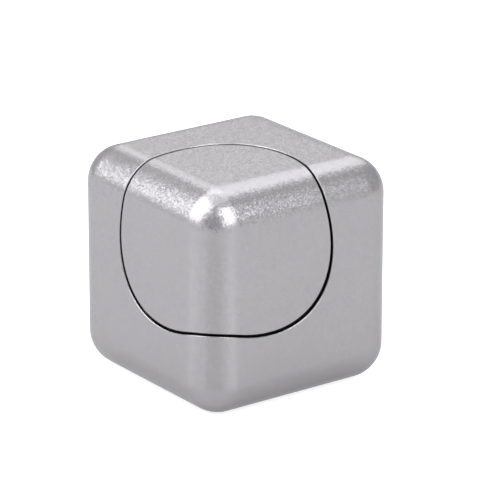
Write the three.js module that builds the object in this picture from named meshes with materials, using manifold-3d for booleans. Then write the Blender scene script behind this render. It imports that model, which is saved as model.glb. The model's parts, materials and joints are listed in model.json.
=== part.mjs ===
// Cube spinner: a bead-blasted aluminium cube that turns about its body diagonal.
// Two opposite corners are round plugs cut out of the cube. A finger and thumb hold them, and the
// rest of the cube turns round them on one deep-groove ball bearing at its centre.
// Millimetres, +Z up, origin at the centre of the bottom face, on which the cube stands.
import * as THREE from "three";
import { RoundedBoxGeometry } from "three/addons/geometries/RoundedBoxGeometry.js";
import { mergeVertices } from "three/addons/utils/BufferGeometryUtils.js";
import Module from "manifold-3d";

// Cube
const cubeSide = 28;
const edgeRadius = 4.5;
const seatWall = 1.7; // shoulder between the bearing's seat and the wider corner bores
const retainingLip = 0.8; // web left past each end of the bearing
const lipOverlap = 1.1; // how far the rear lip covers the outer ring

// Clearances
const seamGap = 0.2; // running gap between a corner cap and its bore
const faceGap = 0.5; // running gap between the web and a cap's inner face
const fitGap = 0.05; // left between pieces that touch

// Ball bearing, size 608
const bearingBore = 8;
const bearingDiameter = 22;
const bearingWidth = 7;
const ballDiameter = 3.969;
const ballCount = 7;
const grooveDepth = 0.53; // depth of each race below its land
const ringChamfer = 0.3;
const shieldDepth = 0.75; // recess for a shield and its snap ring, below the outer ring's end face
const shieldSeat = 0.6; // how far that recess goes past the outer land
const shieldThickness = 0.25;
const shieldGap = 0.2; // running gap between a shield and the inner land
const snapRingHeight = 0.3;
const snapRingWidth = 0.45;
const snapRingOpening = THREE.MathUtils.degToRad(26);

// Ball cage
const cageSheet = 0.3;
const cageSideGap = 0.45; // between the cage and each land
const pocketGap = 0.08; // between a ball and its pocket
const rivetShank = 0.35; // radius
const rivetHeadHeight = 0.25;
const rivetEdge = 0.15; // sheet left between a rivet's head and the pockets

// Axle
const threadDiameter = 6;
const threadLength = 8;
const drillAllowance = 1.5; // tapped hole past the end of the thread
const axleShortfall = 0.1; // each shoulder stops short of the cap, so that the caps clamp the bearing
const axleChamfer = 0.4;

// Facets
const edgeSegments = 3; // over each 45 degrees of a rounded edge
const boreSides = 60;
const raceSides = 48;
const ringSides = 36;
const axleSides = 32;
const rivetSides = 10;
const grooveSegments = 6;
const pocketSides = 12;
const ballDetail = 2;

// Sizes that follow
const cubeCentre = cubeSide / 2;
const beyondCube = cubeSide; // reaches past the cube's corners from its centre
const seatRadius = bearingDiameter / 2 + fitGap;
const boreRadius = seatRadius + seatWall;
const capRadius = boreRadius - seamGap;
const bearingHalf = bearingWidth / 2;
const webHalf = bearingHalf + retainingLip;
const capFace = webHalf + faceGap;
const pitchRadius = (bearingBore + bearingDiameter) / 4;
const ballRadius = ballDiameter / 2;
const raceRadius = ballRadius + fitGap;
const landOffset = raceRadius - grooveDepth;
const innerLand = pitchRadius - landOffset;
const outerLand = pitchRadius + landOffset;
const recessRadius = outerLand + shieldSeat;
const recessFloor = bearingHalf - shieldDepth;
const cageInner = innerLand + cageSideGap;
const cageOuter = outerLand - cageSideGap;
const axleRadius = bearingBore / 2 - fitGap;
const threadRadius = threadDiameter / 2;
const webBottom = fitGap / 2; // the cage's webs meet on the bearing's mid-plane
const webTop = webBottom + cageSheet;

// The spin axis runs from the rear corner (-X, +Y, -Z) to the front corner (+X, -Y, +Z). In its own
// frame it is +Z, and +X points towards the cube's front vertical edge.
const spinFrame = new THREE.Matrix4().makeBasis(
  new THREE.Vector3(1, -1, -2).normalize(),
  new THREE.Vector3(1, 1, 0).normalize(),
  new THREE.Vector3(1, -1, 1).normalize(),
);

const wasm = await Module();
wasm.setup();

const aluminium = { color: 0xb9b9bc, roughness: 0.38, metalness: 1 };
const bearingSteel = { color: 0xc4c6c8, roughness: 0.2, metalness: 1 };
const sheetSteel = { color: 0xa9abad, roughness: 0.35, metalness: 1 };
const stainlessSteel = { color: 0xb4b5b5, roughness: 0.3, metalness: 1 };

function part(name, geometry, finish) {
  const mesh = new THREE.Mesh(geometry, new THREE.MeshStandardMaterial(finish));
  mesh.name = name;
  return mesh;
}

// A solid turned about +Z. The profile is [radius, height] points, rising on the outside.
function turned(profile, sides) {
  const points = profile.map(([radius, height]) => new THREE.Vector2(radius, height));
  return new THREE.LatheGeometry(points, sides).rotateX(Math.PI / 2);
}

function ring(profile, sides) {
  return turned([...profile, profile[0]], sides);
}

function solidOf(geometry) {
  const bare = geometry.clone();
  bare.deleteAttribute("normal");
  bare.deleteAttribute("uv");
  const merged = mergeVertices(bare, 1e-4);
  const corners = [];
  for (let i = 0; i < merged.index.count; i += 3) {
    const [a, b, c] = [0, 1, 2].map((k) => merged.index.getX(i + k));
    if (a !== b && b !== c && c !== a) corners.push(a, b, c);
  }
  const vertProperties = merged.attributes.position.array;
  const triVerts = new Uint32Array(corners);
  return new wasm.Manifold(new wasm.Mesh({ numProp: 3, vertProperties, triVerts }));
}

function geometryOf(solid) {
  const mesh = solid.getMesh();
  const geometry = new THREE.BufferGeometry();
  geometry.setAttribute("position", new THREE.BufferAttribute(mesh.vertProperties, mesh.numProp));
  geometry.setIndex(new THREE.BufferAttribute(mesh.triVerts, 1));
  geometry.computeVertexNormals();
  return geometry;
}

// Turned end for end about Y where it belongs at the rear. The cube and the ring of balls both
// look the same after that half turn.
function facing(geometry, side) {
  return side > 0 ? geometry : geometry.rotateY(Math.PI);
}

// The whole rounded cube, in the spin axis's frame
function roundedCube() {
  const box = new RoundedBoxGeometry(cubeSide, cubeSide, cubeSide, edgeSegments, edgeRadius);
  return solidOf(box.applyMatrix4(spinFrame.clone().invert()));
}

function cubeBody() {
  const throughBore = [
    [0, -beyondCube],
    [boreRadius, -beyondCube],
    [boreRadius, -webHalf],
    [seatRadius - lipOverlap, -webHalf],
    [seatRadius - lipOverlap, -bearingHalf - fitGap],
    [seatRadius, -bearingHalf - fitGap],
    [seatRadius, webHalf],
    [boreRadius, webHalf],
    [boreRadius, beyondCube],
    [0, beyondCube],
  ];
  const solid = roundedCube().subtract(solidOf(turned(throughBore, boreSides)));
  return part("cube_body", geometryOf(solid), aluminium);
}

function cornerCap(name, side) {
  const tappedRadius = threadRadius + fitGap;
  const tappedEnd = capFace + threadLength + drillAllowance;
  const drillPoint = tappedRadius * Math.tan(THREE.MathUtils.degToRad(31));
  const plug = [
    [0, tappedEnd + drillPoint],
    [tappedRadius, tappedEnd],
    [tappedRadius, capFace],
    [capRadius, capFace],
    [capRadius, beyondCube],
    [0, beyondCube],
  ];
  const solid = roundedCube().intersect(solidOf(turned(plug, boreSides)));
  return part(name, facing(geometryOf(solid), side), aluminium);
}

function axle() {
  const shoulder = capFace - axleShortfall;
  const end = shoulder + threadLength;
  const upperHalf = [
    [axleRadius, shoulder - axleChamfer],
    [axleRadius - axleChamfer, shoulder],
    [threadRadius, shoulder],
    [threadRadius, end - axleChamfer],
    [threadRadius - axleChamfer, end],
    [0, end],
  ];
  const lowerHalf = upperHalf.map(([radius, height]) => [radius, -height]).reverse();
  return part("axle", turned([...lowerHalf, ...upperHalf], axleSides), stainlessSteel);
}

function spacer(name, side) {
  const inner = axleRadius + fitGap;
  const near = bearingHalf + fitGap;
  const far = capFace - fitGap;
  const outer = innerLand - fitGap;
  const profile = [
    [inner, near],
    [outer, near],
    [outer, far],
    [inner, far],
  ];
  return part(name, facing(ring(profile, ringSides), side), stainlessSteel);
}

// Points of a race's arc, from one land to the other, on the inner (-1) or outer (+1) ring
function raceArc(side) {
  const reach = Math.acos(landOffset / raceRadius);
  const points = [];
  for (let i = 0; i <= grooveSegments; i++) {
    const angle = side * reach * (1 - (2 * i) / grooveSegments);
    points.push([pitchRadius + side * raceRadius * Math.cos(angle), raceRadius * Math.sin(angle)]);
  }
  return points;
}

function outerRing() {
  const radius = bearingDiameter / 2;
  const profile = [
    [radius, -bearingHalf + ringChamfer],
    [radius, bearingHalf - ringChamfer],
    [radius - ringChamfer, bearingHalf],
    [recessRadius, bearingHalf],
    [recessRadius, recessFloor],
    [outerLand, recessFloor],
    ...raceArc(1),
    [outerLand, -recessFloor],
    [recessRadius, -recessFloor],
    [recessRadius, -bearingHalf],
    [radius - ringChamfer, -bearingHalf],
  ];
  return part("bearing_outer_ring", ring(profile, raceSides), bearingSteel);
}

function innerRing() {
  const radius = bearingBore / 2;
  const profile = [
    [radius, bearingHalf - ringChamfer],
    [radius, -bearingHalf + ringChamfer],
    [radius + ringChamfer, -bearingHalf],
    [innerLand, -bearingHalf],
    ...raceArc(-1),
    [innerLand, bearingHalf],
    [radius + ringChamfer, bearingHalf],
  ];
  return part("bearing_inner_ring", ring(profile, raceSides), bearingSteel);
}

function shield(name, side) {
  const inner = innerLand + shieldGap;
  const outer = recessRadius - fitGap;
  const low = recessFloor + fitGap;
  const step = (outerLand - inner) / 3; // dished between a flat rim and a flat hem
  const dish = shieldThickness / 2;
  const profile = [
    [inner, low + dish],
    [inner + step, low + dish],
    [inner + 2 * step, low],
    [outer, low],
    [outer, low + shieldThickness],
    [inner + 2 * step, low + shieldThickness],
    [inner + step, low + shieldThickness + dish],
    [inner, low + shieldThickness + dish],
  ];
  return part(name, facing(ring(profile, ringSides), side), sheetSteel);
}

// An open ring of flat wire that holds a shield in its recess
function snapRing(name, side) {
  const outer = recessRadius - fitGap;
  const start = snapRingOpening / 2;
  const end = 2 * Math.PI - start;
  const outline = new THREE.Shape();
  outline.absarc(0, 0, outer, start, end, false);
  outline.absarc(0, 0, outer - snapRingWidth, end, start, true);
  const extrusion = { depth: snapRingHeight, bevelEnabled: false, curveSegments: ringSides - 4 };
  const geometry = new THREE.ExtrudeGeometry(outline, extrusion);
  geometry.translate(0, 0, recessFloor + shieldThickness + 2 * fitGap);
  return part(name, facing(geometry, side), sheetSteel);
}

// Moves what is made on the +Y side at the pitch circle round to a ball's place, or by half a
// step more to the web after it
function atStation(geometry, index, halfStep = 0) {
  const angle = ((index + halfStep) * 2 * Math.PI) / ballCount;
  return geometry.translate(0, pitchRadius, 0).rotateZ(angle);
}

// One half of the pressed cage: flat webs joined by half-round pockets over the balls
function cageHalf(name, side) {
  const pocketInside = ballRadius + pocketGap;
  const pocketOutside = pocketInside + cageSheet;
  const flat = (top) => [
    [cageInner, webBottom],
    [cageOuter, webBottom],
    [cageOuter, top],
    [cageInner, top],
  ];
  const radialRod = (radius) => new THREE.CylinderGeometry(radius, radius, 2 * landOffset, pocketSides);
  let sheet = solidOf(ring(flat(webTop), ringSides));
  for (let ball = 0; ball < ballCount; ball++) {
    sheet = sheet.add(solidOf(atStation(radialRod(pocketOutside), ball)));
  }
  sheet = sheet.intersect(solidOf(ring(flat(pocketOutside + fitGap), ringSides)));
  const holeRadius = rivetShank + fitGap;
  for (let ball = 0; ball < ballCount; ball++) {
    const hole = new THREE.CylinderGeometry(holeRadius, holeRadius, 1, rivetSides).rotateX(Math.PI / 2);
    sheet = sheet.subtract(solidOf(atStation(radialRod(pocketInside), ball)));
    sheet = sheet.subtract(solidOf(atStation(hole, ball, 0.5)));
  }
  return part(name, facing(geometryOf(sheet), side), sheetSteel);
}

function rivet(index) {
  const webHalfWidth = pitchRadius * Math.sin(Math.PI / ballCount) - ballRadius - pocketGap - cageSheet;
  const head = webHalfWidth - rivetEdge;
  const underHead = webTop + fitGap;
  const end = underHead + rivetHeadHeight;
  const profile = [
    [0, -end],
    [head, -end],
    [head, -underHead],
    [rivetShank, -underHead],
    [rivetShank, underHead],
    [head, underHead],
    [head, end],
    [0, end],
  ];
  return part(`cage_rivet_${index + 1}`, atStation(turned(profile, rivetSides), index, 0.5), sheetSteel);
}

function ball(index) {
  const sphere = new THREE.IcosahedronGeometry(ballRadius, ballDetail);
  return part(`ball_${index + 1}`, atStation(sphere, index), bearingSteel);
}

const spinAssembly = new THREE.Group();
spinAssembly.position.set(0, 0, cubeCentre);
spinAssembly.quaternion.setFromRotationMatrix(spinFrame);
spinAssembly.add(
  cubeBody(),
  cornerCap("front_corner_cap", 1),
  cornerCap("rear_corner_cap", -1),
  axle(),
  spacer("front_spacer", 1),
  spacer("rear_spacer", -1),
  outerRing(),
  innerRing(),
  cageHalf("cage_front_half", 1),
  cageHalf("cage_rear_half", -1),
  shield("front_shield", 1),
  shield("rear_shield", -1),
  snapRing("front_snap_ring", 1),
  snapRing("rear_snap_ring", -1),
);
for (let index = 0; index < ballCount; index++) {
  spinAssembly.add(ball(index), rivet(index));
}

const cubeSpinner = new THREE.Group();
cubeSpinner.add(spinAssembly);
export default cubeSpinner;
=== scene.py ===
import json
import math

import bmesh
import bpy
import numpy as np
from mathutils import Matrix, Vector


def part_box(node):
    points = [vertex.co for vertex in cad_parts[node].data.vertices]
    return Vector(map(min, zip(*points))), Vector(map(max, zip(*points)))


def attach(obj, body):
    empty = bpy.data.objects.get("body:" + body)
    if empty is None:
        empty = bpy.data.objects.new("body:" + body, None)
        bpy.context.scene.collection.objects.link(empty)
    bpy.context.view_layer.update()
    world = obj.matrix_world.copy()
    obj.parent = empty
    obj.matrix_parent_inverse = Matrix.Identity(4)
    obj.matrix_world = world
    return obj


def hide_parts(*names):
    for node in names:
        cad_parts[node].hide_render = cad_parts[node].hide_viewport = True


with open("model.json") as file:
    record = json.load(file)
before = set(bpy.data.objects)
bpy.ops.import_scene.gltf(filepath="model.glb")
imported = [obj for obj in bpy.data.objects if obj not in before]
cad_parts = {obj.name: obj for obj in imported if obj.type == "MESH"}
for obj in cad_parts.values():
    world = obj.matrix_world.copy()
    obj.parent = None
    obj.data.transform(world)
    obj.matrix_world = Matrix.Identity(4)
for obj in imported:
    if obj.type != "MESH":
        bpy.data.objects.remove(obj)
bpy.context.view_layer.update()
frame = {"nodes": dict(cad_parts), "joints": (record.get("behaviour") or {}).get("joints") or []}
mm = 0.001
print("frame loaded:", len(frame["nodes"]), "nodes")

# The spin axis runs through two opposite corners of the cube. In the spin frame it is +Z, towards
# the front corner, and +X points towards the front vertical edge.
cubeLow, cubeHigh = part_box("cube_body")
cubeCentre = np.array((cubeLow + cubeHigh) / 2)
halfSide = (cubeHigh.x - cubeLow.x) / 2
spinJoint = next(joint for joint in frame["joints"] if joint["name"] == "core_spin")
spinAxis = np.array(spinJoint["axis"]) / np.linalg.norm(spinJoint["axis"])
towardsEdge = np.array([0, 0, -1]) + spinAxis[2] * spinAxis
towardsEdge /= np.linalg.norm(towardsEdge)
spinBasis = np.column_stack([towardsEdge, np.cross(spinAxis, towardsEdge), spinAxis])
cornerSigns = np.sign(spinAxis)
spinTurn = Matrix(spinBasis.tolist()).to_4x4()


def spinPoints(node):  # a CAD node's points, in the spin frame
    points = np.array([vertex.co for vertex in frame["nodes"][node].data.vertices])
    return (points - cubeCentre) @ spinBasis


def spinSpan(node):  # a CAD node's least and greatest radius and height about the spin axis
    local = spinPoints(node)
    radii = np.hypot(local[:, 0], local[:, 1])
    return radii.min(), radii.max(), local[:, 2].min(), local[:, 2].max()


weldSize = 2.3e-8  # metres; points that fall in one cell of this size become one


class Skin:  # a mesh made face by face, with a normal given at each face's corners
    def __init__(self):
        self.points = []
        self.places = {}
        self.faces = []
        self.normals = []

    def place(self, point):
        key = tuple(round(value / weldSize) for value in point)
        if key not in self.places:
            self.places[key] = len(self.points)
            self.points.append(tuple(point))
        return self.places[key]

    def face(self, points, normals):
        ids = [self.place(point) for point in points]
        kept = [i for i in range(len(ids)) if ids[i] != ids[i - 1]]
        if len({ids[i] for i in kept}) < 3:
            return
        corners = [self.points[ids[i]] for i in kept]
        facing = [0.0, 0.0, 0.0]
        for (ax, ay, az), (bx, by, bz) in zip(corners, corners[1:] + corners[:1]):
            facing[0] += (ay - by) * (az + bz)
            facing[1] += (az - bz) * (ax + bx)
            facing[2] += (ax - bx) * (ay + by)
        if sum(facing[k] * normals[i][k] for i in kept for k in range(3)) < 0:
            kept.reverse()
        self.faces.append([ids[i] for i in kept])
        self.normals.extend(tuple(normals[i]) for i in kept)

    def grid(self, rows, normals, closed=False):  # closed: the last column meets the first
        columns = len(rows[0])
        for row in range(len(rows) - 1):
            for column in range(columns if closed else columns - 1):
                after = (column + 1) % columns
                spots = ((row, column), (row, after), (row + 1, after), (row + 1, column))
                self.face([rows[i][j] for i, j in spots], [normals[i][j] for i, j in spots])

    def mesh(self, name):
        mesh = bpy.data.meshes.new(name)
        mesh.from_pydata(self.points, [], self.faces)
        mesh.polygons.foreach_set("use_smooth", [True] * len(self.faces))
        mesh.normals_split_custom_set(self.normals)
        return mesh


def evenAngles(count):
    return [2 * math.pi * step / count for step in range(count)]


# Rounds the corners of an outline. Each corner is (radius, height, rounding), the outline runs with
# the solid on its left, and the result is [radius, height, normal out, normal up] at each point.
def softened(corners, closed=False, steps=4):
    spots = [np.array(corner[:2], float) for corner in corners]
    rounding = [corner[2] if len(corner) > 2 else 0 for corner in corners]
    count = len(spots)

    def heading(i):
        run = spots[(i + 1) % count] - spots[i % count]
        return run / np.linalg.norm(run)

    outline = []
    for i in range(count):
        isEnd = not closed and i in (0, count - 1)
        before = heading(i - 1) if closed or i > 0 else heading(i)
        after = heading(i) if closed or i < count - 1 else before
        turn = math.atan2(before[0] * after[1] - before[1] * after[0], float(before @ after))
        cut = rounding[i] * math.tan(abs(turn) / 2)
        arcSteps = 0 if isEnd or cut == 0 else steps
        for step in range(arcSteps + 1):
            share = step / arcSteps if arcSteps else 0.5
            angle = turn * share
            way = np.array([
                before[0] * math.cos(angle) - before[1] * math.sin(angle),
                before[0] * math.sin(angle) + before[1] * math.cos(angle),
            ])
            spot = spots[i]
            if arcSteps:
                side = math.copysign(1, turn) * rounding[i]
                hub = spots[i] - before * cut + side * np.array([-before[1], before[0]])
                spot = hub - side * np.array([-way[1], way[0]])
            outline.append([*spot, way[1], -way[0]])
    if closed:
        outline.append(outline[0])
    return outline


def revolved(outline, angles):  # rows of points and of normals
    rows = [[(r * math.cos(a), r * math.sin(a), z) for a in angles] for r, z, _, _ in outline]
    normals = [[(n * math.cos(a), n * math.sin(a), up) for a in angles] for _, _, n, up in outline]
    return rows, normals


def turnedSkin(outline, count):
    skin = Skin()
    skin.grid(*revolved(outline, evenAngles(count)), closed=True)
    return skin


# Adds a piece made in the spin frame, at a spot in that frame. Its mesh is turned to the cube's own
# axes. A rear piece (side -1) is first turned end for end about the spin frame's Y axis.
def addPiece(name, mesh, slot, body, node, side=1, spot=(0, 0, 0)):
    piece = bpy.data.objects.new(name, mesh)
    bpy.context.scene.collection.objects.link(piece)
    mesh.materials.append(metals[slot])
    mesh.transform(spinTurn @ Matrix.Rotation(0 if side > 0 else math.pi, 4, "Y"))
    piece.location = Vector(cubeCentre) + spinTurn @ Vector(spot)
    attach(piece, body)
    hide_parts(node)


# Shader groups, for the effects that more than one metal has
def newGroup(name, inputs, outputs):
    group = bpy.data.node_groups.new(name, "ShaderNodeTree")
    for title, kind, value in inputs:
        socket = group.interface.new_socket(name=title, in_out="INPUT", socket_type=kind)
        if value is not None:
            socket.default_value = value
    for title, kind in outputs:
        group.interface.new_socket(name=title, in_out="OUTPUT", socket_type=kind)
    return group, group.nodes.new("NodeGroupInput"), group.nodes.new("NodeGroupOutput")


def addNode(tree, kind, links=(), **settings):
    node = tree.nodes.new(kind)
    for key, value in settings.items():
        setattr(node, key, value)
    for socket, source in dict(links).items():
        target = node.inputs[socket]
        if isinstance(source, bpy.types.NodeSocket):
            tree.links.new(source, target)
        else:
            target.default_value = source
    return node


def maths(tree, operation, a, b=0.0, clamp=False):
    settings = {"operation": operation, "use_clamp": clamp}
    return addNode(tree, "ShaderNodeMath", {0: a, 1: b}, **settings).outputs[0]


def vectorMaths(tree, operation, a, b=(0, 0, 0)):
    return addNode(tree, "ShaderNodeVectorMath", {0: a, 1: b}, operation=operation)


def noise(tree, vector, scale, detail=2.0, roughness=0.5):
    links = {"Vector": vector, "Scale": scale, "Detail": detail, "Roughness": roughness}
    return addNode(tree, "ShaderNodeTexNoise", links).outputs[0]


blastShape = {
    "dimpleSmoothness": 0.4,
    "dimpleHeight": 0.35,
    "facetTilt": 0.95,  # small flats, each turned its own way, that catch the light one by one
    "unevenHeight": 0.4,
    "unevenScale": 0.8,  # as a share of the dimples' scale, as is the next
    "patchScale": 0.22,
    "patchDetail": 4.0,
    "patchRoughness": 0.65,
}


# Overlapping dimples, as left by glass beads, with tiny tilted flats between them
def makeBeadBlast():
    inputs = [("Vector", "NodeSocketVector", None), ("Dimple Scale", "NodeSocketFloat", 6000.0)]
    outputs = [("Height", "NodeSocketFloat"), ("Mottle", "NodeSocketFloat")]
    group, given, result = newGroup("beadBlast", inputs, outputs)
    vector, scale = given.outputs[0], given.outputs[1]
    links = {"Vector": vector, "Scale": scale}
    cells = addNode(group, "ShaderNodeTexVoronoi", links, feature="SMOOTH_F1")
    cells.inputs["Smoothness"].default_value = blastShape["dimpleSmoothness"]
    dimple = maths(group, "MULTIPLY", cells.outputs["Distance"], blastShape["dimpleHeight"])
    facets = addNode(group, "ShaderNodeTexVoronoi", links)
    offset = vectorMaths(group, "SUBTRACT", vector, facets.outputs["Position"]).outputs[0]
    lean = vectorMaths(group, "SUBTRACT", facets.outputs["Color"], (0.5, 0.5, 0.5)).outputs[0]
    slope = vectorMaths(group, "DOT_PRODUCT", offset, lean).outputs[1]
    slope = maths(group, "MULTIPLY", slope, scale)
    tilted = maths(group, "MULTIPLY", slope, blastShape["facetTilt"])
    unevenScale = maths(group, "MULTIPLY", scale, blastShape["unevenScale"])
    uneven = noise(group, vector, unevenScale, 1.0)
    uneven = maths(group, "MULTIPLY", uneven, blastShape["unevenHeight"])
    height = maths(group, "ADD", maths(group, "ADD", dimple, uneven), tilted)
    patchScale = maths(group, "MULTIPLY", scale, blastShape["patchScale"])
    detail, roughness = blastShape["patchDetail"], blastShape["patchRoughness"]
    patches = noise(group, vector, patchScale, detail, roughness)
    group.links.new(height, result.inputs[0])
    group.links.new(patches, result.inputs[1])
    return group


lineShape = {"detail": 3.0, "roughness": 0.7, "broadScale": 0.12}


# Fine lines round the spin axis, from a lathe or a grinding wheel
def makeTurnedLines():
    inputs = [("Vector", "NodeSocketVector", None), ("Line Scale", "NodeSocketFloat", 9000.0)]
    outputs = [("Height", "NodeSocketFloat"), ("Tone", "NodeSocketFloat")]
    group, given, result = newGroup("turnedLines", inputs, outputs)
    vector, scale, spin = given.outputs[0], given.outputs[1], tuple(spinAxis)
    across = vectorMaths(group, "CROSS_PRODUCT", vector, spin).outputs[0]
    radius = vectorMaths(group, "LENGTH", across).outputs[1]
    height = vectorMaths(group, "DOT_PRODUCT", vector, spin).outputs[1]
    place = addNode(group, "ShaderNodeCombineXYZ", {0: radius, 1: height}).outputs[0]
    lines = noise(group, place, scale, lineShape["detail"], lineShape["roughness"])
    broad = noise(group, place, maths(group, "MULTIPLY", scale, lineShape["broadScale"]))
    group.links.new(lines, result.inputs[0])
    group.links.new(broad, result.inputs[1])
    return group


markShape = {
    "hazeDetail": 4.0,
    "hazeRoughness": 0.6,
    "scratchTurn": (0.5, 0.9, 0.3),
    "scratchStretch": (1.0, 14.0, 3.0),
    "scratchScale": 2.2,  # as a share of the haze's scale
    "thinness": 90.0,
    "scratchFrom": 0.56,  # scratches show only where the haze is stronger than this
}


# Faint marks of handling: soft patches that blur the shine, and thin stray scratches
def makeHandlingMarks():
    inputs = [("Vector", "NodeSocketVector", None), ("Mark Scale", "NodeSocketFloat", 160.0)]
    outputs = [("Haze", "NodeSocketFloat"), ("Scratches", "NodeSocketFloat")]
    group, given, result = newGroup("handlingMarks", inputs, outputs)
    vector, scale = given.outputs[0], given.outputs[1]
    haze = noise(group, vector, scale, markShape["hazeDetail"], markShape["hazeRoughness"])
    turned = {"Rotation": markShape["scratchTurn"], "Scale": markShape["scratchStretch"]}
    stretch = addNode(group, "ShaderNodeMapping", {"Vector": vector, **turned}).outputs[0]
    hair = noise(group, stretch, maths(group, "MULTIPLY", scale, markShape["scratchScale"]))
    ridge = maths(group, "ABSOLUTE", maths(group, "SUBTRACT", hair, 0.5))
    ridge = maths(group, "MULTIPLY", ridge, markShape["thinness"])
    thin = maths(group, "SUBTRACT", 1.0, ridge, clamp=True)
    rare = maths(group, "GREATER_THAN", haze, markShape["scratchFrom"])
    group.links.new(haze, result.inputs[0])
    group.links.new(maths(group, "MULTIPLY", thin, rare), result.inputs[1])
    return group


beadBlast = makeBeadBlast()
turnedLines = makeTurnedLines()
handlingMarks = makeHandlingMarks()


# Materials take their coordinates from the object, in metres
def newMaterial(name, sockets):
    material = bpy.data.materials.new(name)
    material.use_nodes = True
    tree = material.node_tree
    shader = tree.nodes["Principled BSDF"]
    for socket, value in sockets.items():
        shader.inputs[socket].default_value = value
    coordinates = addNode(tree, "ShaderNodeTexCoord")
    return material, tree, shader, coordinates.outputs["Object"]


def useGroup(tree, group, vector, scale):
    node = addNode(tree, "ShaderNodeGroup", node_tree=group)
    tree.links.new(vector, node.inputs[0])
    node.inputs[1].default_value = scale
    return node.outputs


def between(tree, value, low, high):  # 0 to 1 becomes low to high
    links = {"Value": value, "To Min": low, "To Max": high}
    return addNode(tree, "ShaderNodeMapRange", links).outputs[0]


def tint(tree, value, dark, light):
    mix = addNode(tree, "ShaderNodeMix", data_type="RGBA")
    tree.links.new(value, mix.inputs[0])
    mix.inputs[6].default_value = (*dark, 1)
    mix.inputs[7].default_value = (*light, 1)
    return mix.outputs[2]


# Joins a metal's colour mask, its dullness and its relief to its shader
def dress(tree, shader, look, mask, dullness, height, depth):
    bump = addNode(tree, "ShaderNodeBump", {"Height": height, "Distance": depth})
    colour = tint(tree, mask, look["dark"], look["light"])
    tree.links.new(colour, shader.inputs["Base Color"])
    tree.links.new(between(tree, dullness, *look["roughness"]), shader.inputs["Roughness"])
    tree.links.new(bump.outputs[0], shader.inputs["Normal"])


blastedLook = {
    "dark": (0.2187, 0.2137, 0.2223),
    "light": (0.2308, 0.2258, 0.2344),
    "edgeTint": (0.7, 0.7, 0.7, 1),  # a metal this grey brightens less towards its outline
    "roughness": (0.24, 0.27),
    "dimpleScale": 6400.0,
    "dimpleDepth": 0.0238 * mm,
    "markScale": 160.0,
    "markShare": 0.25,  # of the shade; the mottle of the blasting has the rest
    "shadeRange": (-1.0, 2.0),  # spreads the noise, which keeps near its middle, over both colours
}


def makeBlastedAluminium():
    sockets = {"Metallic": 1.0, "Specular Tint": blastedLook["edgeTint"]}
    material, tree, shader, place = newMaterial("blastedAluminium", sockets)
    blast = useGroup(tree, beadBlast, place, blastedLook["dimpleScale"])
    marks = useGroup(tree, handlingMarks, place, blastedLook["markScale"])
    share = blastedLook["markShare"]
    mottle = maths(tree, "MULTIPLY", blast["Mottle"], 1 - share)
    shade = maths(tree, "ADD", mottle, maths(tree, "MULTIPLY", marks["Haze"], share))
    spread = between(tree, shade, *blastedLook["shadeRange"])
    depth = blastedLook["dimpleDepth"]
    dress(tree, shader, blastedLook, spread, shade, blast["Height"], depth)
    return material


turnedLooks = {
    "bearingSteel": {
        "dark": (0.5, 0.5, 0.5),
        "light": (0.6, 0.6, 0.6),
        "roughness": (0.14, 0.3),
        "lineScale": 9000.0,
        "lineDepth": 0.002 * mm,
        "markScale": 300.0,
    },
    "stainlessSteel": {
        "dark": (0.46, 0.455, 0.44),
        "light": (0.57, 0.56, 0.545),
        "roughness": (0.24, 0.42),
        "lineScale": 6000.0,
        "lineDepth": 0.004 * mm,
        "markScale": 300.0,
    },
}


scratchShare = 0.4  # of the turned metals' dullness; haze has the rest


def makeTurnedMetal(name):
    look = turnedLooks[name]
    material, tree, shader, place = newMaterial(name, {"Metallic": 1.0})
    lines = useGroup(tree, turnedLines, place, look["lineScale"])
    marks = useGroup(tree, handlingMarks, place, look["markScale"])
    haze = maths(tree, "MULTIPLY", marks["Haze"], 1 - scratchShare)
    scratches = maths(tree, "MULTIPLY", marks["Scratches"], scratchShare)
    dull = maths(tree, "ADD", haze, scratches)
    dress(tree, shader, look, lines["Tone"], dull, lines["Height"], look["lineDepth"])
    return material


sheetLook = {
    "dark": (0.47, 0.46, 0.44),
    "light": (0.6, 0.595, 0.58),
    "roughness": (0.26, 0.46),
    "grainScale": 11000.0,
    "grainDepth": 0.004 * mm,
    "markScale": 420.0,
}


def makeSheetSteel():
    material, tree, shader, place = newMaterial("sheetSteel", {"Metallic": 1.0})
    grain = useGroup(tree, beadBlast, place, sheetLook["grainScale"])
    marks = useGroup(tree, handlingMarks, place, sheetLook["markScale"])
    dull = maths(tree, "ADD", marks["Haze"], marks["Scratches"])
    dull = maths(tree, "MULTIPLY", dull, 0.5)  # the mean of the two
    dress(tree, shader, sheetLook, marks["Haze"], dull, grain["Height"], sheetLook["grainDepth"])
    return material


ballLook = {
    "dark": (0.56, 0.57, 0.58),
    "light": (0.66, 0.67, 0.68),
    "roughness": (0.06, 0.16),
    "markScale": 900.0,
    "markDepth": 0.001 * mm,
}


def makeBallSteel():
    material, tree, shader, place = newMaterial("ballSteel", {"Metallic": 1.0})
    marks = useGroup(tree, handlingMarks, place, ballLook["markScale"])
    haze, scratches = marks["Haze"], marks["Scratches"]
    dress(tree, shader, ballLook, haze, haze, scratches, ballLook["markDepth"])
    return material


metals = {  # by the record's material slots
    "blasted_aluminium": makeBlastedAluminium(),
    "bearing_steel": makeTurnedMetal("bearingSteel"),
    "stainless_steel": makeTurnedMetal("stainlessSteel"),
    "sheet_steel": makeSheetSteel(),
    "ball_steel": makeBallSteel(),
}
print("materials made")

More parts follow.
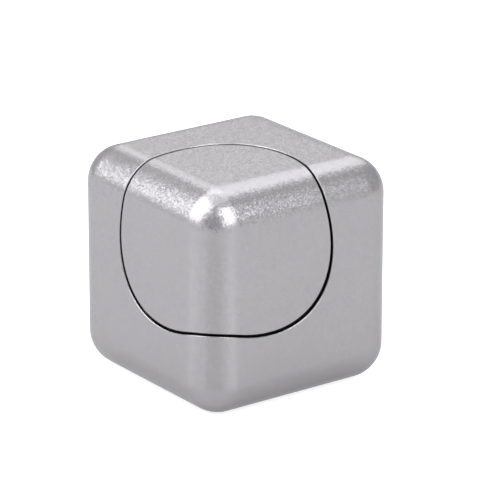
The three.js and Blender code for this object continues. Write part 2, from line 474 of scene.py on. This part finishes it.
# The outer skin that the cube's body and the corner caps share
cube = {
    "edgeRadius": 4.5 * mm,
    "edgeSteps": 24,  # facets round a quarter turn of a rounded edge
    "arcSteps": 30,  # facets of the seam across one flat face
    "runningGap": 0.2 * mm,  # between a corner cap and its bore
    "fitGap": 0.05 * mm,
    "boreBreak": 0.13 * mm,  # rounding of the bore's mouth
    "capBreak": 0.1 * mm,  # rounding of the cap's rim
    "breakSteps": 5,
}
coreHalf = halfSide - cube["edgeRadius"]
_, capRadius, capFace, _ = spinSpan("front_corner_cap")
boreRadius = capRadius + cube["runningGap"]
axes = np.eye(3)
edgePairs = ((0, 1), (1, 2), (2, 0))


def edgeNormal(a, b, signs, step):
    angle = step / cube["edgeSteps"] * math.pi / 2
    return signs[a] * math.cos(angle) * axes[a] + signs[b] * math.sin(angle) * axes[b]


# The rim of a corner cap, or the mouth of its bore: a ball of the rim's rounding rolls along inside
# it, touching the outer skin and the wall. wallSense is 1 for a cap's wall and -1 for a bore's.
def rollRim(side, wallRadius, rounding, wallSense):
    basis = spinBasis * np.array([side, 1, side])
    signs = cornerSigns * side
    reach = wallRadius - wallSense * rounding

    def touch(hub, normal):  # the ball with its centre here
        angle = math.atan2(hub @ basis[:, 1], hub @ basis[:, 0])
        wall = wallSense * (math.cos(angle) * basis[:, 0] + math.sin(angle) * basis[:, 1])
        return {"hub": hub, "normal": normal, "wall": wall, "angle": angle}

    def onEdge(a, b, step):  # where a line along a rounded edge comes within reach of the axis
        along = signs[3 - a - b] * axes[3 - a - b]
        lean = along @ basis[:, 2]
        normal = edgeNormal(a, b, signs, step)
        start = coreHalf * (signs[a] * axes[a] + signs[b] * axes[b])
        start = start + (cube["edgeRadius"] - rounding) * normal
        height = start @ basis[:, 2]
        p = -height * lean / (1 - lean**2)
        q = (start @ start - height**2 - reach**2) / (1 - lean**2)
        return touch(start + (-p - math.sqrt(p * p - q)) * along, normal)

    def onFlat(a, angle):
        spoke = reach * (math.cos(angle) * basis[:, 0] + math.sin(angle) * basis[:, 1])
        rise = (signs[a] * (halfSide - rounding) - spoke[a]) / basis[a, 2]
        return touch(spoke + rise * basis[:, 2], signs[a] * axes[a])

    steps = range(cube["edgeSteps"] + 1)
    edges = {(a, b): [onEdge(a, b, step) for step in steps] for a, b in edgePairs}
    flats = {}
    for a in range(3):
        first = edges[a, (a + 1) % 3][0]
        last = edges[(a + 2) % 3, a][-1]
        sweep = (last["angle"] - first["angle"] + math.pi) % (2 * math.pi) - math.pi
        shares = [step / cube["arcSteps"] for step in range(1, cube["arcSteps"])]
        arc = [onFlat(a, first["angle"] + sweep * share) for share in shares]
        flats[a] = [first] + arc + [last]
    ring = [spot for spots in edges.values() for spot in spots]
    ring += [spot for spots in flats.values() for spot in spots[1:-1]]
    ring.sort(key=lambda spot: spot["angle"])
    rows, normals = [], []
    for step in range(cube["breakSteps"] + 1):
        row, rowNormals = [], []
        for spot in ring:
            opening = math.acos(np.clip(spot["normal"] @ spot["wall"], -1, 1))
            swing = step / cube["breakSteps"] * opening
            way = math.sin(opening - swing) * spot["normal"] + math.sin(swing) * spot["wall"]
            way = way / math.sin(opening)
            row.append(tuple((spot["hub"] + rounding * way) @ spinBasis))
            rowNormals.append(tuple(way @ spinBasis))
        rows.append(row)
        normals.append(rowNormals)

    def outside(spots):  # where the ball touches the outer skin
        return [spot["hub"] + rounding * spot["normal"] for spot in spots]

    return {
        "edge": {pair: outside(spots) for pair, spots in edges.items()},
        "flat": {a: outside(spots) for a, spots in flats.items()},
        "angles": [math.atan2(row[1], row[0]) for row in rows[-1]],
        "rows": rows,
        "normals": normals,
    }


def addFace(skin, points, normals):  # takes the cube's own axes, gives the spin frame
    points = [tuple(point @ spinBasis) for point in points]
    skin.face(points, [tuple(normal @ spinBasis) for normal in normals])


def addCornerBall(skin, signs):  # an eighth of a sphere, in rows from the X pole
    steps = cube["edgeSteps"]

    def spot(i, j):
        down = i / steps * math.pi / 2
        along = j / max(i, 1) * math.pi / 2
        ring = math.sin(down)
        return signs * np.array([math.cos(down), ring * math.cos(along), ring * math.sin(along)])

    for i in range(steps):
        for j in range(i + 1):
            triangles = [[spot(i, j), spot(i + 1, j), spot(i + 1, j + 1)]]
            if j < i:
                triangles.append([spot(i, j), spot(i + 1, j + 1), spot(i, j + 1)])
            for normals in triangles:
                addFace(skin, [coreHalf * signs + cube["edgeRadius"] * n for n in normals], normals)


def addRuledEdge(skin, a, b, signs, starts, ends):  # starts and ends: a point for each step
    for step in range(cube["edgeSteps"]):
        normals = [edgeNormal(a, b, signs, step + k) for k in (0, 1)]
        points = [starts[step], starts[step + 1], ends[step + 1], ends[step]]
        addFace(skin, points, [normals[0], normals[1], normals[1], normals[0]])


def edgeEnds(a, b, signs):  # where a rounded edge meets the corner at its far end
    normals = [edgeNormal(a, b, signs, step) for step in range(cube["edgeSteps"] + 1)]
    return [coreHalf * signs + cube["edgeRadius"] * normal for normal in normals]


def outward(rim, outline):  # the rim's rows, then the turned surfaces that its wall runs on to
    rows, normals = revolved(outline, rim["angles"])
    return rim["rows"] + rows, rim["normals"] + normals


# A flat ring between two circles whose steps differ. Each circle is its radius and its angles.
def bridge(skin, outer, inner, height, normal):
    turns, spots = [], []
    for radius, angles in (outer, inner):
        ring = sorted(angle % (2 * math.pi) for angle in angles)
        points = [(radius * math.cos(turn), radius * math.sin(turn), height) for turn in ring]
        turns.append(ring + [ring[0] + 2 * math.pi])
        spots.append(points + [points[0]])
    counts = [len(ring) - 1 for ring in turns]
    at = [0, 0]
    while at != counts:
        outerDone, innerDone = at[0] == counts[0], at[1] == counts[1]
        innerNext = not innerDone and (outerDone or turns[1][at[1] + 1] < turns[0][at[0] + 1])
        which = 1 if innerNext else 0
        triangle = [spots[0][at[0]], spots[1][at[1]], spots[which][at[which] + 1]]
        skin.face(triangle, [normal] * 3)
        at[which] += 1


body = {
    "faceGap": 0.5 * mm,  # between the front shoulder and the cap's inner face
    "shoulderRounding": 0.2 * mm,
    "seatRounding": 0.14 * mm,
    "flatWall": 0.6 * mm,  # flat ring left beside each circle of the front shoulder
}


def makeCubeBody():
    _, ringRadius, _, ringHalf = spinSpan("bearing_outer_ring")
    lipRadius, _, _, _ = spinSpan("cube_body")
    shoulder = capFace - body["faceGap"]
    seat = ringRadius + cube["fitGap"]
    stop = ringHalf + cube["fitGap"]
    skin = Skin()
    rims = {side: rollRim(side, boreRadius, cube["boreBreak"], -1) for side in (1, -1)}
    for a in range(3):
        for sign in (1, -1):
            side = int(sign * cornerSigns[a])
            signs = cornerSigns * side
            b, c = (a + 1) % 3, (a + 2) % 3
            corners = []
            for signB, signC in ((1, -1), (-1, -1), (-1, 1)):
                point = np.zeros(3)
                point[a] = halfSide * sign
                point[b] = coreHalf * signs[b] * signB
                point[c] = coreHalf * signs[c] * signC
                corners.append(point)
            points = rims[side]["flat"][a][::-1] + corners
            addFace(skin, points, [sign * axes[a]] * len(points))
    for a, b in edgePairs:
        c = 3 - a - b
        for signA in (1, -1):
            for signB in (1, -1):
                signs = np.zeros(3)
                signs[a], signs[b], signs[c] = signA, signB, 1
                ends = []
                for signC in (1, -1):
                    signs[c] = signC
                    side = int(signs @ cornerSigns / 3) if abs(signs @ cornerSigns) == 3 else 0
                    ends.append(rims[side]["edge"][a, b] if side else edgeEnds(a, b, signs))
                addRuledEdge(skin, a, b, signs, *ends)
    for corner in range(8):
        signs = np.array([1 if corner >> k & 1 else -1 for k in range(3)], float)
        if abs(signs @ cornerSigns) < 3:
            addCornerBall(skin, signs)
    frontFlat = boreRadius - body["flatWall"]
    seatFlat = seat + body["flatWall"]
    front = softened([
        (boreRadius, shoulder + 3 * body["shoulderRounding"]),
        (boreRadius, shoulder, body["shoulderRounding"]),
        (frontFlat, shoulder),
    ])
    rear = softened([
        (seatFlat, shoulder),
        (seat, shoulder, body["seatRounding"]),
        (seat, -stop, body["seatRounding"]),
        (lipRadius, -stop, body["seatRounding"]),
        (lipRadius, -shoulder, body["seatRounding"]),
        (boreRadius, -shoulder, body["shoulderRounding"]),
        (boreRadius, -shoulder - 3 * body["shoulderRounding"]),
    ])
    skin.grid(*outward(rims[1], front), closed=True)
    skin.grid(*outward(rims[-1], rear[::-1]), closed=True)
    outer, inner = (frontFlat, rims[1]["angles"]), (seatFlat, rims[-1]["angles"])
    bridge(skin, outer, inner, shoulder, (0, 0, 1))
    shell = skin.mesh("cubeShell")
    addPiece("cubeShell", shell, "blasted_aluminium", "cube", "cube_body")


thread = {
    "radius": 3.0 * mm,
    "pitch": 1.0 * mm,
    "depth": 0.61 * mm,
    "flat": 0.125,  # the crest's and the root's share of half a pitch
    "stepsInPitch": 12,
    "sides": 72,
}


def threadCut(angle, height):  # how deep the thread is here, from 0 at its crest to 1 at its root
    phase = (height / thread["pitch"] - angle / (2 * math.pi)) % 1
    return min(max((abs(2 * phase - 1) - thread["flat"]) / (1 - 2 * thread["flat"]), 0), 1)


# Rows of a threaded stretch. The thread grows in from the stretch's low end and dies away at
# fadeEnd. crest(height) is the crest's radius, and wallSense -1 makes it a nut's.
def threadRows(span, fadeEnd, crest, wallSense, angles):
    low, high = span
    count = max(2, round((high - low) / thread["pitch"] * thread["stepsInPitch"]))
    fade = thread["pitch"] / 2
    nudge = 0.02  # radians, and the same share of a pitch
    rise = nudge * thread["pitch"]

    def radiusAt(angle, height):
        ease = min(1, (height - low) / fade, (fadeEnd - height) / fade)
        return crest(height) - thread["depth"] * max(ease, 0) * threadCut(angle, height)

    rows, normals = [], []
    for step in range(count + 1):
        height = low + (high - low) * step / count
        row, rowNormals = [], []
        for angle in angles:
            radius = radiusAt(angle, height)
            turnGrowth = radiusAt(angle + nudge, height) - radiusAt(angle - nudge, height)
            perTurn = turnGrowth / (2 * nudge)
            riseGrowth = radiusAt(angle, height + rise) - radiusAt(angle, height - rise)
            perRise = riseGrowth / (2 * rise)
            out = Vector((math.cos(angle), math.sin(angle), 0))
            on = Vector((-math.sin(angle), math.cos(angle), 0))
            normal = out - on * (perTurn / radius) - Vector((0, 0, perRise))
            row.append((radius * out.x, radius * out.y, height))
            rowNormals.append(tuple(normal.normalized() * wallSense))
        rows.append(row)
        normals.append(rowNormals)
    return rows, normals


cap = {
    "rimRounding": 0.3 * mm,  # inner edge of the skirt
    "mouthRounding": 0.35 * mm,  # mouth of the tapped hole
    "tapGap": 0.05 * mm,  # between the axle's thread and the hole's
    "holeDepth": 9.5 * mm,
    "tipAngle": 31,  # degrees
}


def makeCornerCap(name, node, side):
    holeRadius = thread["radius"] + cap["tapGap"]
    skin = Skin()
    rim = rollRim(1, capRadius, cube["capBreak"], 1)
    signs = cornerSigns
    for a in range(3):
        inner = coreHalf * signs
        inner[a] = halfSide * signs[a]
        points = rim["flat"][a] + [inner]
        addFace(skin, points, [signs[a] * axes[a]] * len(points))
    for a, b in edgePairs:
        addRuledEdge(skin, a, b, signs, rim["edge"][a, b], edgeEnds(a, b, signs))
    addCornerBall(skin, signs)
    wall = softened([
        (holeRadius, capFace + 2 * cap["mouthRounding"]),
        (holeRadius, capFace, cap["mouthRounding"]),
        (capRadius, capFace, cap["rimRounding"]),
        (capRadius, capFace + 2 * cap["rimRounding"]),
    ])
    skin.grid(*outward(rim, wall[::-1]), closed=True)
    holeLow, holeHigh = capFace + 2 * cap["mouthRounding"], capFace + cap["holeDepth"]
    hole = (holeLow, holeHigh)
    tapped = threadRows(hole, holeHigh, lambda height: holeRadius, -1, rim["angles"])
    skin.grid(*tapped, closed=True)
    tip = holeHigh + holeRadius * math.tan(math.radians(cap["tipAngle"]))
    skin.grid(*revolved(softened([(0, tip), (holeRadius, holeHigh)]), rim["angles"]), closed=True)
    addPiece(name, skin.mesh(name), "blasted_aluminium", "core", node, side)


axle = {
    "bodyRounding": 0.25 * mm,
    "shoulderGap": 0.1 * mm,  # between the axle's shoulder and the cap's inner face
    "neck": 0.35 * mm,  # plain length under each thread
    "tipChamfer": 0.4 * mm,
}


def turnedOver(rows):  # half a turn about the spin frame's Y axis
    return [[(-x, y, -z) for x, y, z in row] for row in rows]


def makeAxle():
    _, bodyRadius, _, end = spinSpan("axle")
    shoulder = capFace - axle["shoulderGap"]
    threadLow = shoulder + axle["neck"]
    angles = evenAngles(thread["sides"])

    def crest(height):  # the thread's crest, with the chamfer at the tip
        return min(thread["radius"], thread["radius"] - axle["tipChamfer"] + end - height)

    body = softened([
        (bodyRadius, 0),
        (bodyRadius, shoulder, axle["bodyRounding"]),
        (thread["radius"], shoulder),
    ])
    neck = softened([(thread["radius"], shoulder), (thread["radius"], threadLow)])
    threaded = threadRows((threadLow, end), end + thread["pitch"], crest, 1, angles)
    skin = Skin()
    for rows, normals in (revolved(body, angles), revolved(neck, angles), threaded):
        skin.grid(rows, normals, closed=True)
        skin.grid(turnedOver(rows), turnedOver(normals), closed=True)
    tip = threaded[0][-1]
    for points, up in (([tip], 1), (turnedOver([tip]), -1)):
        skin.face(points[0], [(0, 0, up)] * len(tip))
    addPiece("axlePin", skin.mesh("axlePin"), "stainless_steel", "core", "axle")


spacer = {"rounding": 0.2 * mm, "sides": 96}


def makeSpacer(name, node, side):
    inner, outer, low, high = spinSpan("front_spacer")
    soft = spacer["rounding"]
    corners = [(inner, low, soft), (outer, low, soft), (outer, high, soft), (inner, high, soft)]
    mesh = turnedSkin(softened(corners, closed=True), spacer["sides"]).mesh(name)
    addPiece(name, mesh, "stainless_steel", "core", node, side)


bearing = {
    "ballDiameter": 3.969 * mm,
    "pitchRadius": 7.5 * mm,
    "balls": 7,
    "ballGap": 0.05 * mm,
    "grooveDepth": 0.53 * mm,
    "grooveSteps": 18,
    "cornerRounding": 0.3 * mm,
    "recessDepth": 0.75 * mm,
    "recessWidth": 0.6 * mm,
    "smallRounding": 0.06 * mm,
    "sides": 144,
    "ballSubdivisions": 4,
}
ballRadius = bearing["ballDiameter"] / 2
raceRadius = ballRadius + bearing["ballGap"]
landOffset = raceRadius - bearing["grooveDepth"]


def raceArc(side):  # side: 1 on the outer ring, -1 on the inner one
    reach = math.acos(landOffset / raceRadius)
    arc = []
    for step in range(bearing["grooveSteps"] + 1):
        angle = side * reach * (1 - 2 * step / bearing["grooveSteps"])
        radius = bearing["pitchRadius"] + side * raceRadius * math.cos(angle)
        isEnd = step in (0, bearing["grooveSteps"])
        arc.append((radius, raceRadius * math.sin(angle), bearing["smallRounding"] if isEnd else 0))
    return arc


def makeBearingRings():
    small, corner = bearing["smallRounding"], bearing["cornerRounding"]
    _, outer, _, half = spinSpan("bearing_outer_ring")
    land = bearing["pitchRadius"] + landOffset
    recess = land + bearing["recessWidth"]
    floor = half - bearing["recessDepth"]
    outline = softened([
        (outer, -half, corner),
        (outer, half, corner),
        (recess, half, small),
        (recess, floor, small),
        (land, floor, small),
        *raceArc(1),
        (land, -floor, small),
        (recess, -floor, small),
        (recess, -half, small),
    ], closed=True)
    name, node = "bearingOuterRing", "bearing_outer_ring"
    mesh = turnedSkin(outline, bearing["sides"]).mesh(name)
    addPiece(name, mesh, "bearing_steel", "cube", node)
    bore, _, _, half = spinSpan("bearing_inner_ring")
    land = bearing["pitchRadius"] - landOffset
    outline = softened([
        (bore, half, corner),
        (bore, -half, corner),
        (land, -half, small),
        *raceArc(-1),
        (land, half, small),
    ], closed=True)
    name, node = "bearingInnerRing", "bearing_inner_ring"
    mesh = turnedSkin(outline, bearing["sides"]).mesh(name)
    addPiece(name, mesh, "bearing_steel", "core", node)


def stationAngle(index):  # a ball's place round the spin axis; rivets are at half steps
    return math.pi / 2 + 2 * math.pi * index / bearing["balls"]


def stationSpot(index):
    angle = stationAngle(index)
    return Vector((math.cos(angle), math.sin(angle), 0)) * bearing["pitchRadius"]


def makeBalls():
    for index in range(bearing["balls"]):
        name = f"bearingBall{index + 1}"
        mesh = bpy.data.meshes.new(name)
        sphere = bmesh.new()
        subdivisions = bearing["ballSubdivisions"]
        bmesh.ops.create_icosphere(sphere, subdivisions=subdivisions, radius=ballRadius)
        sphere.to_mesh(mesh)
        sphere.free()
        mesh.polygons.foreach_set("use_smooth", [True] * len(mesh.polygons))
        node = f"ball_{index + 1}"
        addPiece(name, mesh, "ball_steel", node, node, spot=stationSpot(index))


shield = {
    "rounding": 0.09 * mm,
    "bendRounding": 0.27 * mm,
    "dish": 0.125 * mm,  # how far its inner third is pressed outwards
}


def makeShield(name, node, side):
    inner, outer, low, high = spinSpan("front_shield")
    dish = shield["dish"]
    sheet = high - low - dish
    third = (outer - inner) / 3
    soft, bend = shield["rounding"], shield["bendRounding"]
    outline = softened([
        (inner, low + dish, soft),
        (inner + third, low + dish, bend),
        (inner + 2 * third, low, bend),
        (outer, low, soft),
        (outer, low + sheet, soft),
        (inner + 2 * third, low + sheet, bend),
        (inner + third, low + sheet + dish, bend),
        (inner, low + sheet + dish, soft),
    ], closed=True)
    mesh = turnedSkin(outline, bearing["sides"]).mesh(name)
    addPiece(name, mesh, "sheet_steel", "cube", node, side)


snapRing = {
    "width": 0.45 * mm,
    "rounding": 0.07 * mm,
    "opening": math.radians(26),
    "steps": 120,
}


def makeSnapRing(name, node, side):
    _, outer, low, high = spinSpan("front_snap_ring")
    soft = snapRing["rounding"]
    inner = outer - snapRing["width"]
    corners = [(inner, low, soft), (outer, low, soft), (outer, high, soft), (inner, high, soft)]
    section = softened(corners, closed=True)
    start = snapRing["opening"] / 2
    sweep = 2 * math.pi - 2 * start
    angles = [start + sweep * step / snapRing["steps"] for step in range(snapRing["steps"] + 1)]
    rows, normals = revolved(section, angles)
    skin = Skin()
    skin.grid(rows, normals)
    for column, way in ((0, -1), (-1, 1)):
        angle = angles[column]
        flat = (-math.sin(angle) * way, math.cos(angle) * way, 0)
        skin.face([row[column] for row in rows[:-1]], [flat] * (len(rows) - 1))
    addPiece(name, skin.mesh(name), "sheet_steel", "cube", node, side)


cage = {
    "sheet": 0.3 * mm,
    "pocketGap": 0.08 * mm,
    "bendRadius": 0.35 * mm,  # where a web turns up into a pocket, at the middle of the sheet
    "pocketSteps": 12,
    "bendSteps": 5,
    "holeRadius": 0.4 * mm,
    "holeSides": 32,
    "punchLength": 1.2 * mm,
    "sharpAngle": math.radians(35),  # faces that meet at more than this keep a crisp edge
}


# The middle of the sheet from a pocket's top to the end of its bend, as (across, height) and normal
def cageCurve(web):
    pocket = ballRadius + cage["pocketGap"] + cage["sheet"] / 2
    bend = cage["bendRadius"]
    hub = Vector((math.sqrt((pocket + bend) ** 2 - (web + bend) ** 2), web + bend))
    meet = math.atan2(hub.y, hub.x)
    curve = []
    for step in range(cage["pocketSteps"] + 1):
        angle = math.pi / 2 + (meet - math.pi / 2) * step / cage["pocketSteps"]
        way = Vector((math.cos(angle), math.sin(angle)))
        curve.append((way * pocket, way))
    for step in range(1, cage["bendSteps"] + 1):
        angle = meet + math.pi + (math.pi / 2 - meet) * step / cage["bendSteps"]
        way = Vector((math.cos(angle), math.sin(angle)))
        curve.append((hub + way * bend, -way))
    return curve


def makeCageHalf(name, node, side):
    inner, outer, low, _ = spinSpan("cage_front_half")
    half = cage["sheet"] / 2
    web = low + half
    curve = cageCurve(web)
    sections = []

    # The sheet's four corners at one place of its run
    def addSection(centre, across, height, normal):
        section = []
        for radius, level in ((inner, -half), (outer, -half), (outer, half), (inner, half)):
            angle = centre + math.asin((across + level * normal[0]) / radius)
            up = height + level * normal[1]
            section.append((radius * math.cos(angle), radius * math.sin(angle), up))
        sections.append(section)

    for index in range(bearing["balls"]):
        centre = stationAngle(index)
        for spot, normal in reversed(curve):
            addSection(centre, -spot.x, spot.y, (-normal.x, normal.y))
        for spot, normal in curve[1:]:
            addSection(centre, spot.x, spot.y, normal)
        addSection(stationAngle(index + 0.5), 0, web, (0, 1))
    shape = bmesh.new()
    rings = [[shape.verts.new(point) for point in section] for section in sections]
    for ring, after in zip(rings, rings[1:] + rings[:1]):
        for k in range(4):
            shape.faces.new((ring[k], after[k], after[(k + 1) % 4], ring[(k + 1) % 4]))
    bmesh.ops.recalc_face_normals(shape, faces=shape.faces)
    blank = bpy.data.meshes.new("cageBlank")
    shape.to_mesh(blank)
    shape.free()
    mesh = punched(blank)
    mesh.name = name
    addPiece(name, mesh, "sheet_steel", "cage", node, side)


def punched(mesh):  # punches a rivet hole in each web
    sheet = bpy.data.objects.new("cageBlank", mesh)
    bpy.context.scene.collection.objects.link(sheet)
    punches = bmesh.new()
    for index in range(bearing["balls"]):
        angle = stationAngle(index + 0.5) + math.pi / cage["holeSides"]
        bmesh.ops.create_cone(
            punches,
            cap_ends=True,
            segments=cage["holeSides"],
            radius1=cage["holeRadius"],
            radius2=cage["holeRadius"],
            depth=cage["punchLength"],
            matrix=Matrix.Translation(stationSpot(index + 0.5)) @ Matrix.Rotation(angle, 4, "Z"),
        )
    punchMesh = bpy.data.meshes.new("punches")
    punches.to_mesh(punchMesh)
    punches.free()
    punch = bpy.data.objects.new("punches", punchMesh)
    bpy.context.scene.collection.objects.link(punch)
    cut = sheet.modifiers.new("holes", "BOOLEAN")
    cut.operation = "DIFFERENCE"
    cut.solver = "EXACT"
    cut.object = punch
    graph = bpy.context.evaluated_depsgraph_get()
    result = bpy.data.meshes.new_from_object(sheet.evaluated_get(graph))
    bpy.data.objects.remove(sheet)
    bpy.data.objects.remove(punch)
    result.polygons.foreach_set("use_smooth", [True] * len(result.polygons))
    result.set_sharp_from_angle(angle=cage["sharpAngle"])
    return result


rivet = {
    "shank": 0.35 * mm,
    "headHeight": 0.25 * mm,
    "headRounding": 0.16 * mm,
    "edgeRounding": 0.03 * mm,
    "shankRounding": 0.02 * mm,
    "sides": 40,
}


def makeRivets():
    local = spinPoints("cage_rivet_1")
    head = np.hypot(*(local[:, :2] - np.array(stationSpot(0.5))[:2]).T).max()
    top = local[:, 2].max()
    under = top - rivet["headHeight"]
    soft, edge, shank = rivet["headRounding"], rivet["edgeRounding"], rivet["shank"]
    outline = softened([
        (0, -top),
        (head, -top, soft),
        (head, -under, edge),
        (shank, -under, rivet["shankRounding"]),
        (shank, under, rivet["shankRounding"]),
        (head, under, edge),
        (head, top, soft),
        (0, top),
    ])
    for index in range(bearing["balls"]):
        spot = stationSpot(index + 0.5)
        name, node = f"cageRivet{index + 1}", f"cage_rivet_{index + 1}"
        mesh = turnedSkin(outline, rivet["sides"]).mesh(name)
        addPiece(name, mesh, "sheet_steel", "cage", node, spot=spot)


makeCubeBody()
print("cube body made")
for where, side in (("front", 1), ("rear", -1)):
    makeCornerCap(f"{where}CornerCap", f"{where}_corner_cap", side)
    makeSpacer(f"{where}Spacer", f"{where}_spacer", side)
    makeShield(f"{where}Shield", f"{where}_shield", side)
    makeSnapRing(f"{where}SnapRing", f"{where}_snap_ring", side)
    makeCageHalf(f"{where}CageHalf", f"cage_{where}_half", side)
print("caps, spacers, shields, snap rings and cage made")
makeAxle()
makeBearingRings()
makeBalls()
makeRivets()
print("axle, bearing rings, balls and rivets made")


def towards(azimuth, elevation):  # azimuth 0 is the front, -Y, and 90 the right, +X
    turn, rise = math.radians(azimuth), math.radians(elevation)
    level = math.cos(rise)
    return Vector((math.sin(turn) * level, -math.cos(turn) * level, math.sin(rise)))


view = {
    "azimuth": 54.04,
    "elevation": 19.81,
    "distance": 15.365 * 2 * halfSide,
    "lens": 256.5,
    "shiftX": 0.0299,
    "shiftY": 0.0208,
    "clipStart": 0.01,
}


def aim(item, spot):  # -Z looks at spot
    item.rotation_euler = (spot - item.location).to_track_quat("-Z", "Y").to_euler()


def makeCamera():
    camera = bpy.data.objects.new("camera", bpy.data.cameras.new("camera"))
    bpy.context.scene.collection.objects.link(camera)
    camera.data.lens = view["lens"]
    camera.data.shift_x = view["shiftX"]
    camera.data.shift_y = view["shiftY"]
    camera.data.clip_start = view["clipStart"]
    away = towards(view["azimuth"], view["elevation"]) * view["distance"]
    camera.location = Vector(cubeCentre) + away
    aim(camera, Vector(cubeCentre))
    bpy.context.scene.camera = camera


# The floor and the cards are paper that glows, though no lamp lights it: a share of their
# brightness is their own glow, painted light that keeps the shadow under the cube pale
paintedGlow = {"share": 0.4, "glow": 2.8}


def makeGlowingPaper(name, colour):
    material = bpy.data.materials.new(name)
    material.use_nodes = True
    shader = material.node_tree.nodes["Principled BSDF"]
    share = paintedGlow["share"]
    shader.inputs["Base Color"].default_value = [value * (1 - share) for value in colour[:3]] + [1]
    # painted light: the paper's own glow, which lifts the shade on it
    shader.inputs["Emission Color"].default_value = colour
    shader.inputs["Emission Strength"].default_value = share * paintedGlow["glow"]
    shader.inputs["Roughness"].default_value = 1.0
    return material


def addSheet(name, corners, colour):  # flat, with its heights measured from the cube's bottom face
    mesh = bpy.data.meshes.new(name)
    mesh.from_pydata(corners, [], [range(4)])
    sheet = bpy.data.objects.new(name, mesh)
    bpy.context.scene.collection.objects.link(sheet)
    sheet.location = (cubeCentre[0], cubeCentre[1], cubeLow.z)
    mesh.materials.append(makeGlowingPaper(name + "Paper", colour))
    return sheet


floor = {"size": 6.0, "drop": 0.02 * mm, "colour": (0.655, 0.655, 0.657, 1)}


def makeFloor():
    half, low = floor["size"] / 2, -floor["drop"]
    corners = [(-half, -half, low), (half, -half, low), (half, half, low), (-half, half, low)]
    addSheet("floor", corners, floor["colour"])


# Each softbox has its direction from the cube, its half angles of width and height, and its glow,
# which is how bright its face is beside a white wall's 1
softboxes = {
    "leftSoftbox": {"azimuth": -25, "elevation": 39, "across": 30, "up": 30, "glow": 4.3},
    "rightSoftbox": {"azimuth": 96, "elevation": 33, "across": 20, "up": 25, "glow": 4.9},
    "backSoftbox": {"azimuth": -136, "elevation": 46, "across": 23, "up": 24, "glow": 2.3},
    "topSoftbox": {"azimuth": -90, "elevation": 78, "across": 27, "up": 27, "glow": 1.5},
}
studio = {"softboxDistance": 0.5, "wallGlow": 1.2}


def makeLights():
    for name, box in softboxes.items():
        lamp = bpy.data.lights.new(name, "AREA")
        lamp.shape = "RECTANGLE"
        lamp.size = 2 * studio["softboxDistance"] * math.tan(math.radians(box["across"]))
        lamp.size_y = 2 * studio["softboxDistance"] * math.tan(math.radians(box["up"]))
        lamp.energy = box["glow"] * math.pi * lamp.size * lamp.size_y
        piece = bpy.data.objects.new(name, lamp)
        bpy.context.scene.collection.objects.link(piece)
        away = towards(box["azimuth"], box["elevation"]) * studio["softboxDistance"]
        piece.location = Vector(cubeCentre) + away
        aim(piece, Vector(cubeCentre))
        piece.visible_camera = False
    world = bpy.data.worlds.new("studio")
    world.use_nodes = True
    world.node_tree.nodes["Background"].inputs[0].default_value = (1, 1, 1, 1)
    world.node_tree.nodes["Background"].inputs[1].default_value = studio["wallGlow"]
    bpy.context.scene.world = world
    bpy.context.scene.view_settings.view_transform = "Standard"


# Painted reflections: cards that show only in the cube's shine, to darken or brighten its
# reflections.
# One stands in front of the cube, and the others lie on the floor and fan out from below the front
# vertical edge.
standingCard = {
    "azimuth": 41,
    "distance": 0.14,
    "width": 0.088,
    "height": 0.14,
    "bottom": 0.012,
    "grey": 0.34,
}
floorCards = {
    "darkFloorCard": {"azimuth": 45, "spread": 22, "grey": 0.54},
    "leftFloorCard": {"azimuth": -22, "spread": 14, "grey": 0.75},
    "rightFloorCard": {"azimuth": 98, "spread": 13, "grey": 0.77},
}
floorCardRun = {"start": 0.0105, "end": 0.1, "lift": 0.0003}  # from the edge's axis


def addReflectionCard(name, corners, grey):
    card = addSheet(name, corners, (grey, grey, grey, 1))
    # the card shows only in the cube's shine, as a painted reflection
    card.visible_camera = False
    card.visible_diffuse = False
    card.visible_shadow = False


def makeReflectionCards():
    up = Vector((0, 0, 1))
    away = towards(standingCard["azimuth"], 0)
    side = away.cross(up) * standingCard["width"] / 2
    low = away * standingCard["distance"] + up * standingCard["bottom"]
    high = low + up * standingCard["height"]
    corners = (low - side, low + side, high + side, high - side)
    addReflectionCard("standingCard", corners, standingCard["grey"])
    apex = Vector((coreHalf, -coreHalf, floorCardRun["lift"]))
    for name, card in floorCards.items():
        edges = [towards(card["azimuth"] + sign * card["spread"], 0) for sign in (-1, 1)]
        near = [apex + edge * floorCardRun["start"] for edge in edges]
        far = [apex + edge * floorCardRun["end"] for edge in edges]
        addReflectionCard(name, (*near, *reversed(far)), card["grey"])


makeCamera()
makeFloor()
makeLights()
makeReflectionCards()
print("camera, floor and lights made")
